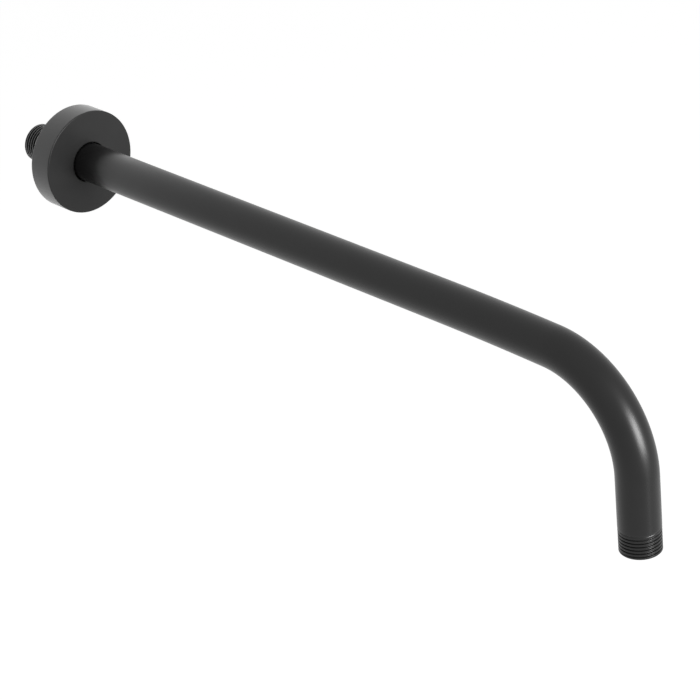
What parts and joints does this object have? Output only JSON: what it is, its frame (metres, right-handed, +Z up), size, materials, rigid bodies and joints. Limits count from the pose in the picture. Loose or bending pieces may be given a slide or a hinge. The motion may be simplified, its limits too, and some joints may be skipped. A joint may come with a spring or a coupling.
{
  "type": "shower arm",
  "caption": "Wall-mounted shower arm: a long straight pipe bent down at its end, with male pipe threads at inlet and outlet and a cup flange that slides along it.",
  "frame": {"origin": "on the pipe's axis in the plane of the finished wall, which is the flange's open back face at rest", "axes": "+X leaves the wall along the straight pipe, +Z is up, and the outlet points down along -Z"},
  "size_m": [0.4465, 0.057, 0.1205],
  "materials": {
    "black_coat": "satin black coat",
    "ring_rubber": "moulded, matt"
  },
  "bodies": {
    "arm": {"arm_tube": "black_coat"},
    "ring": {"flange_ring": "ring_rubber"},
    "flange": {"wall_flange": "black_coat"}
  },
  "joints": [
    {"name": "flange_slide", "type": "slide", "parent": "arm", "child": "ring", "axis": [1, 0, 0], "range_m": [-0.016, 0.27]},
    {"name": "flange_spin", "type": "hinge", "parent": "ring", "child": "flange", "pos_m": [0, 0, 0], "axis": [1, 0, 0], "continuous": true}
  ]
}
